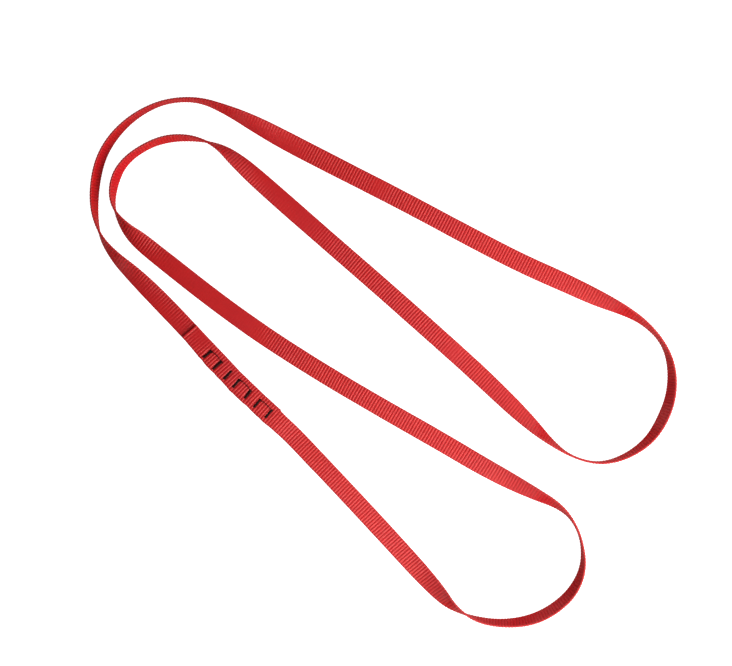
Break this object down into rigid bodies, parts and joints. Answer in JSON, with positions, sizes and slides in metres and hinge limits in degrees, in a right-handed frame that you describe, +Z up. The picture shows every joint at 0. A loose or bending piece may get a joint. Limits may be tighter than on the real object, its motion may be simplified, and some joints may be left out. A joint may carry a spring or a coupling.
{
  "type": "webbing sling",
  "caption": "Endless loop of flat red nylon webbing, its ends lapped and held by black bar tacks, laid down as a doubled band bent into a U.",
  "frame": {"origin": "on the surface that the sling lies on, under the middle of its outline", "axes": "+Z up off that surface, +X along the outline's longer side, towards the ends of the two arms"},
  "size_m": [0.4954, 0.4473, 0.0161],
  "materials": {
    "webbing": "woven nylon, transverse ribs, soft sheen",
    "tack_thread": "polyester thread, slight gloss"
  },
  "bodies": {
    "splice_and_left_bights": {"splice_lower_layer": "webbing", "left_outer_bight": "webbing", "top_run_left": "webbing", "upper_middle_run_left": "webbing", "left_inner_bight": "webbing", "lower_middle_run_left": "webbing", "bottom_run_left": "webbing", "splice_upper_layer": "webbing", "bar_tack_1": "tack_thread", "bar_tack_2": "tack_thread", "bar_tack_3": "tack_thread", "bar_tack_4": "tack_thread", "bar_tack_5": "tack_thread", "bar_tack_6": "tack_thread", "bar_tack_7": "tack_thread", "tack_jump_threads": "tack_thread"},
    "upper_arm": {"top_run_right": "webbing", "upper_right_bight": "webbing", "upper_middle_run_right": "webbing"},
    "lower_arm": {"lower_middle_run_right": "webbing", "lower_right_bight": "webbing", "bottom_run_right": "webbing"}
  },
  "joints": [
    {"name": "upper_arm_fold", "type": "hinge", "parent": "splice_and_left_bights", "child": "upper_arm", "pos_m": [0.006, 0.104, 0.0021], "axis": [-0.5592, -0.829, 0], "range_deg": [0, 160]},
    {"name": "lower_arm_fold", "type": "hinge", "parent": "splice_and_left_bights", "child": "lower_arm", "pos_m": [-0.0245, -0.066, 0.0021], "axis": [-0.6361, -0.7716, 0], "range_deg": [0, 160]}
  ]
}
